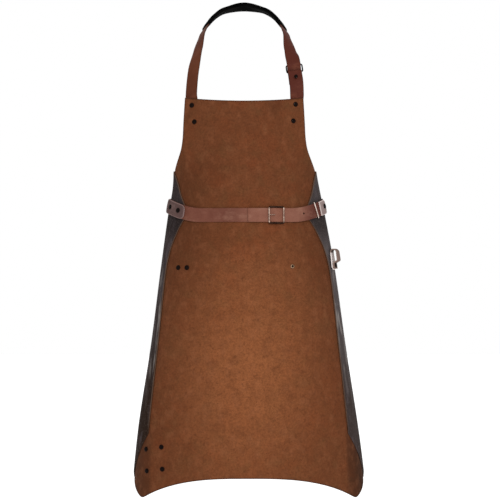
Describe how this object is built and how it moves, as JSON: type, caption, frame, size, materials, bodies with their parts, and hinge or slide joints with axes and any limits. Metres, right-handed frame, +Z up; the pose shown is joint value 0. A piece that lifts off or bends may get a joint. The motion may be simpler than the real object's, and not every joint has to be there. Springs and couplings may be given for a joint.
{
  "type": "leather bib apron",
  "caption": "Worn-form leather work apron with a bib, a padded neck strap, dark side panels, a buckled waist belt, a side loop and rivets.",
  "frame": {"origin": "middle of the neck pad's underside, where the apron rests on the back of a neck", "axes": "+Z up, the front of the apron faces -Y, +X to the right of a viewer in front"},
  "size_m": [0.5242, 0.2226, 1.1193],
  "materials": {
    "suede_leather": "matte brown suede with soft cloudy shading",
    "dark_leather": "satin dark grey-brown smooth leather",
    "strap_leather": "semi-gloss reddish brown strap leather with darker cut edges",
    "pad_cover": "black padded cover with lengthwise wrinkles",
    "dark_metal": "glossy black-brown plated metal",
    "bright_metal": "bright nickel-like metal"
  },
  "bodies": {
    "root": {"front_panel": "suede_leather", "side_panel_left": "dark_leather", "side_panel_right": "dark_leather", "neck_strap_long": "strap_leather", "neck_strap_short": "strap_leather", "neck_pad": "pad_cover", "neck_buckle": "dark_metal", "belt_strap": "strap_leather", "belt_buckle": "bright_metal", "belt_prong": "bright_metal", "belt_keeper": "bright_metal", "belt_tab_left": "strap_leather", "belt_tab_right": "strap_leather", "side_loop": "strap_leather", "stud_hip": "bright_metal", "rivet_bib_left_upper": "dark_metal", "rivet_bib_left_lower": "dark_metal", "rivet_bib_right_upper": "dark_metal", "rivet_bib_right_lower": "dark_metal", "rivet_neck_fold": "dark_metal", "rivet_hip_outer": "dark_metal", "rivet_hip_inner": "dark_metal", "rivet_hem_front_upper": "dark_metal", "rivet_hem_front_lower": "dark_metal", "rivet_hem_side_upper": "dark_metal", "rivet_hem_side_lower": "dark_metal", "rivet_belt_left_front": "dark_metal", "rivet_belt_left_back": "dark_metal", "rivet_belt_right": "dark_metal", "rivet_side_loop": "dark_metal"}
  },
  "joints": []
}
